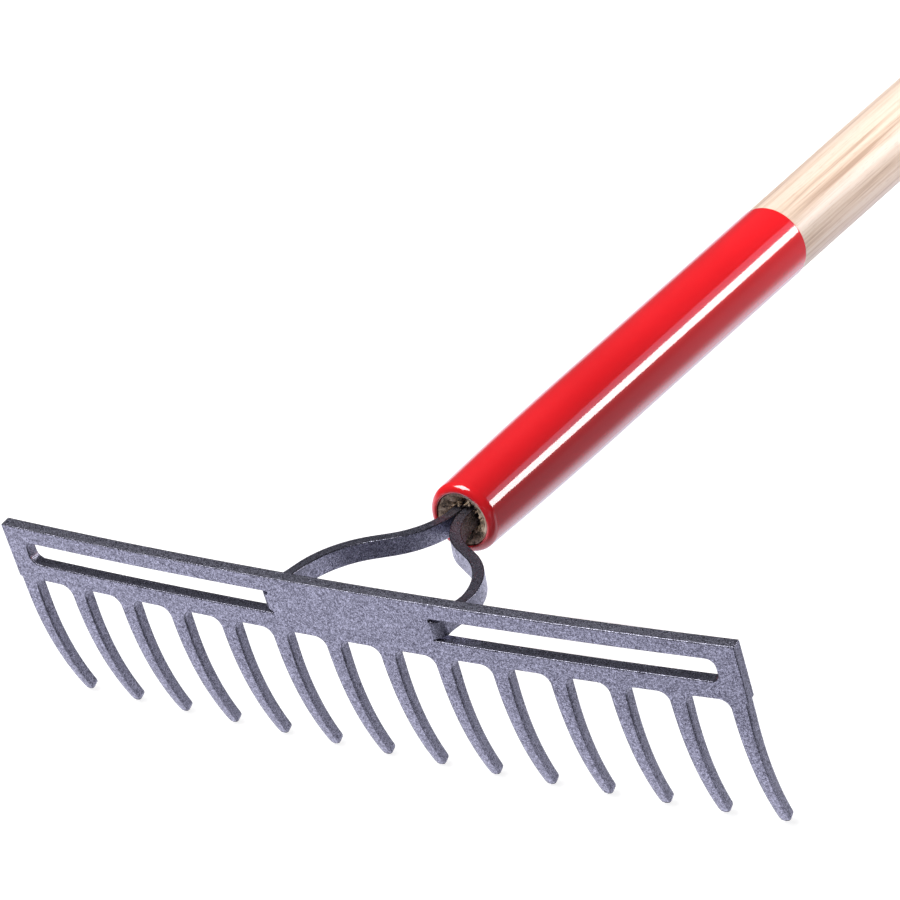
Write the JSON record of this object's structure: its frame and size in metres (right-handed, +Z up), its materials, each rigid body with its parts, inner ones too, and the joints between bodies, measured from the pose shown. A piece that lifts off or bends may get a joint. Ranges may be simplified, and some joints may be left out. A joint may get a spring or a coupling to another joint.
{
  "type": "bow rake",
  "caption": "Forged steel bow rake: a straight head with curved tines, two bow arms into a red steel ferrule, and a long wooden handle.",
  "frame": {"origin": "on the floor, under the middle of the rake's bounding box, with the rake lying on its tine tips and the butt of its handle", "axes": "+X along the head, +Y from the head towards the butt of the handle, +Z up"},
  "size_m": [0.3568, 1.6116, 0.0968],
  "materials": {
    "hammertone_steel": "grey hammertone coat, speckled, satin",
    "red_ferrule_paint": "gloss red enamel",
    "ash_wood": "clear-coated pale ash, satin",
    "pin_steel": "plain steel"
  },
  "bodies": {
    "root": {"head_plate": "hammertone_steel", "tine_01": "hammertone_steel", "tine_02": "hammertone_steel", "tine_03": "hammertone_steel", "tine_04": "hammertone_steel", "tine_05": "hammertone_steel", "tine_06": "hammertone_steel", "tine_07": "hammertone_steel", "tine_08": "hammertone_steel", "tine_09": "hammertone_steel", "tine_10": "hammertone_steel", "tine_11": "hammertone_steel", "tine_12": "hammertone_steel", "tine_13": "hammertone_steel", "tine_14": "hammertone_steel", "bow_left": "hammertone_steel", "bow_right": "hammertone_steel", "ferrule": "red_ferrule_paint", "handle": "ash_wood", "ferrule_pin": "pin_steel"}
  },
  "joints": []
}
